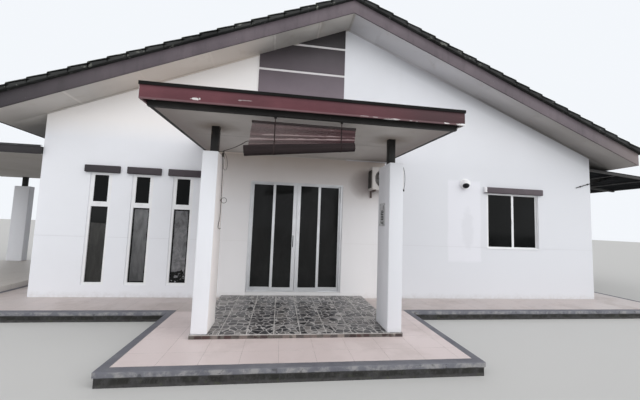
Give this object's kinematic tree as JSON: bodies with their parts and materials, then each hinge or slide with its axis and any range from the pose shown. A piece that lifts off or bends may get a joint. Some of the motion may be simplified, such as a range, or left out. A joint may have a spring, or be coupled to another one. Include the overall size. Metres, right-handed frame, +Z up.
{
  "type": "bungalow",
  "caption": "Single-storey gabled house with a tiled roof, sliding entrance doors under a flat canopy, an open side porch and a lean-to awning.",
  "frame": {"origin": "on the ground, straight under the ridge line, in the plane of the front wall's outer face", "axes": "+X along the front wall to the viewer's right, +Y through the front wall into the house, +Z up"},
  "size_m": [17.802, 15.1, 6.1645],
  "materials": {
    "slab_concrete": "painted concrete, weathered",
    "floor_tile": "matt ceramic",
    "mosaic_tile": "semi-gloss",
    "white_plaster": "painted plaster, matt",
    "roof_tile": "matt",
    "mauve_paint": "paint, matt",
    "lining_board": "painted board, matt",
    "white_aluminium": "powder coated",
    "silver_aluminium": "satin",
    "dark_glass": "tinted, clear",
    "black_plastic": "matt",
    "black_steel": "paint, satin",
    "red_fascia": "paint, weathered",
    "roof_sheet": "coated sheet, satin",
    "blind_slat": "bleached, matt",
    "brown_cord": "twisted cord",
    "grey_cord": "twisted cord",
    "plate_metal": "satin",
    "white_plastic": "satin",
    "white_steel": "paint, satin",
    "grey_plastic": "matt",
    "bracket_steel": "paint, worn",
    "grey_fascia": "paint, satin",
    "awning_sheet_metal": "coated sheet, satin"
  },
  "bodies": {
    "house": {"raft": "slab_concrete", "floor_slab": "slab_concrete", "floor_tiles": "floor_tile", "platform": "mosaic_tile", "front_wall_left": "white_plaster", "front_wall_right": "white_plaster", "front_gable": "white_plaster", "back_wall": "white_plaster", "left_wall": "white_plaster", "right_wall": "white_plaster", "roof_left": "roof_tile", "roof_right": "roof_tile", "ridge_tiles": "roof_tile", "barge_boards": "mauve_paint", "eave_boards": "mauve_paint", "gable_soffits": "lining_board", "eave_soffits": "lining_board", "gable_panel": "mauve_paint", "window_hoods": "mauve_paint", "window_frames": "white_aluminium", "window_glass": "dark_glass", "door_frame": "silver_aluminium", "fixed_leaves": "silver_aluminium", "fixed_glass": "dark_glass", "canopy_columns": "white_plaster", "canopy_posts": "black_steel", "canopy_beams": "black_steel", "canopy_ceiling": "lining_board", "canopy_fascia": "red_fascia", "canopy_sheet": "roof_sheet", "canopy_edge_strip": "black_steel", "blind_rail": "black_steel", "blind_slats": "blind_slat", "blind_roll": "blind_slat", "pull_cord": "brown_cord", "column_cord": "grey_cord", "cord_hook": "black_steel", "number_plate": "plate_metal", "camera_housing": "white_plastic", "camera_lens": "black_plastic", "unit_housing": "white_steel", "fan_grille": "white_steel", "fan_blades": "grey_plastic", "unit_brackets": "bracket_steel", "porch_slab": "slab_concrete", "porch_columns": "white_plaster", "porch_posts": "black_steel", "porch_beams": "black_steel", "porch_ceiling": "lining_board", "porch_fascia_boards": "grey_fascia", "porch_sheet": "roof_sheet", "porch_edge_strip": "black_steel", "awning_sheet": "awning_sheet_metal", "awning_frame": "bracket_steel", "corner_rod": "black_steel"},
    "leaf_left": {"sliding_leaf_left": "silver_aluminium", "sliding_glass_left": "dark_glass", "pull_handle": "black_plastic"},
    "leaf_right": {"sliding_leaf_right": "silver_aluminium", "sliding_glass_right": "dark_glass"}
  },
  "joints": [
    {"name": "slide_left", "type": "slide", "parent": "house", "child": "leaf_left", "axis": [-1, 0, 0], "range_m": [0, 0.4]},
    {"name": "slide_right", "type": "slide", "parent": "house", "child": "leaf_right", "axis": [1, 0, 0], "range_m": [0, 0.4]}
  ]
}
